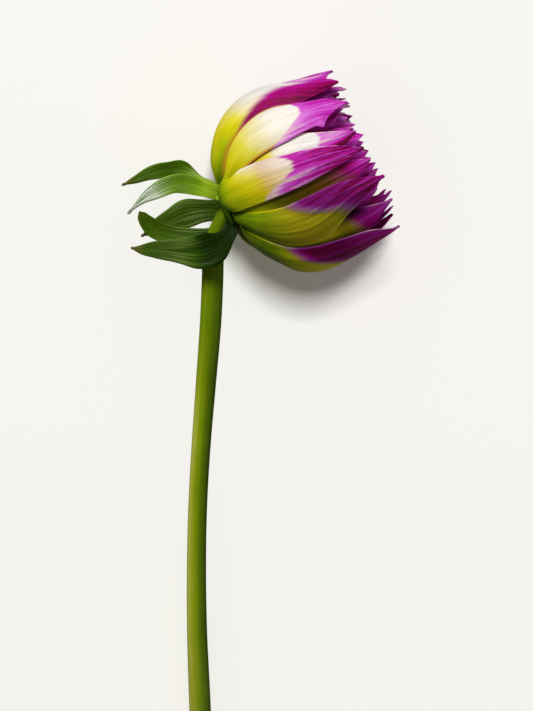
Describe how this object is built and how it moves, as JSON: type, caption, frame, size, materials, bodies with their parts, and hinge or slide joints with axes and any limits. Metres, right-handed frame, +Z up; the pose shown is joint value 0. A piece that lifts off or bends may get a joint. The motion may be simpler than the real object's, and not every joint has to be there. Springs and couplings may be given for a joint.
{
  "type": "half-open pompon dahlia bloom on a cut stem",
  "caption": "Half-open pompon dahlia lying on its side, green-yellow guard petals with magenta tips, reflexed green bracts and a bare cut stem",
  "frame": {"origin": "middle of the flat spot under the lying bloom, on the surface it lies on", "axes": "+Z up from the surface; +Y along the stem from its cut end towards the bloom; +X to the side the bloom opens towards, its axis level and turned 24 degrees from +X towards +Y"},
  "size_m": [0.0754, 0.1819, 0.0515],
  "materials": {
    "stem": "smooth living stem, yellow-green, faint length-wise ridges",
    "bract": "dark green leafy tissue with a soft sheen and parallel veins",
    "guard_petal": "velvety petal, yellow-green at the root through cream to magenta at the tip",
    "inner_petal": "velvety magenta petal with fine length-wise streaks"
  },
  "bodies": {
    "root": {"stem": "stem", "bracts": "bract", "outer_petals": "guard_petal", "inner_petals": "inner_petal"}
  },
  "joints": []
}
